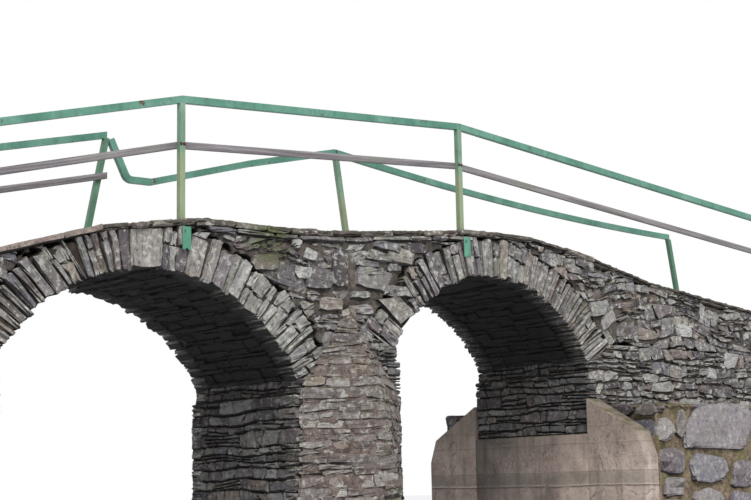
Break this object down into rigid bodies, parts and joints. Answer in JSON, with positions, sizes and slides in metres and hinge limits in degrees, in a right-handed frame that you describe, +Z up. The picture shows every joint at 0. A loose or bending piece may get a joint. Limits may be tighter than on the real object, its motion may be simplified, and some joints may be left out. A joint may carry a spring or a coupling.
{
  "type": "stone arch footbridge",
  "caption": "Hump-backed rubble stone arch footbridge with segmental arches, pointed cutwaters, concrete wing walls and rusty painted steel railings.",
  "frame": {"origin": "middle of the pier's underside", "axes": "+X along the bridge to the right, +Y from the near face to the far face, +Z up"},
  "size_m": [12.2, 3.04, 3.7209],
  "materials": {
    "schist_slabs": "rough split schist in lime mortar",
    "rubble_stone": "rough coursed rubble",
    "pier_stone": "rough rubble with worn mortar",
    "boulder_stone": "boulders in mortar",
    "core_rubble": "loose rubble and mortar",
    "coping_mortar": "weathered mortar",
    "board_marked_concrete": "board-marked concrete",
    "path_earth": "trodden earth",
    "green_rail_paint": "green paint, rusting",
    "green_post_paint": "green paint, faded and lichened",
    "weathered_timber": "bare weathered timber"
  },
  "bodies": {
    "root": {"centre_pier": "pier_stone", "concrete_facing": "board_marked_concrete", "deck_path": "path_earth", "far_bent_top_rail": "green_rail_paint", "far_centre_spandrel": "rubble_stone", "far_coping": "coping_mortar", "far_cutwater": "pier_stone", "far_foot_plates": "green_rail_paint", "far_left_arch_ring": "schist_slabs", "far_left_mid_rail": "weathered_timber", "far_left_spandrel": "rubble_stone", "far_left_top_rail": "green_rail_paint", "far_post_1": "green_post_paint", "far_post_2": "green_post_paint", "far_post_3": "green_post_paint", "far_post_4": "green_post_paint", "far_retaining_wall": "boulder_stone", "far_right_arch_ring": "schist_slabs", "far_right_spandrel": "rubble_stone", "far_right_top_rail": "green_rail_paint", "far_wing_wall": "board_marked_concrete", "left_abutment": "rubble_stone", "left_vault": "schist_slabs", "near_centre_spandrel": "rubble_stone", "near_centre_top_rail": "green_rail_paint", "near_coping": "coping_mortar", "near_cutwater": "pier_stone", "near_foot_plates": "green_rail_paint", "near_left_arch_ring": "schist_slabs", "near_left_spandrel": "rubble_stone", "near_left_top_rail": "green_rail_paint", "near_mid_rails": "weathered_timber", "near_post_1": "green_post_paint", "near_post_2": "green_post_paint", "near_post_3": "green_post_paint", "near_post_4": "green_post_paint", "near_retaining_wall": "boulder_stone", "near_right_arch_ring": "schist_slabs", "near_right_spandrel": "rubble_stone", "near_right_top_rail": "green_rail_paint", "near_wing_wall": "board_marked_concrete", "right_abutment": "rubble_stone", "right_vault": "schist_slabs", "rubble_fill": "core_rubble"}
  },
  "joints": []
}
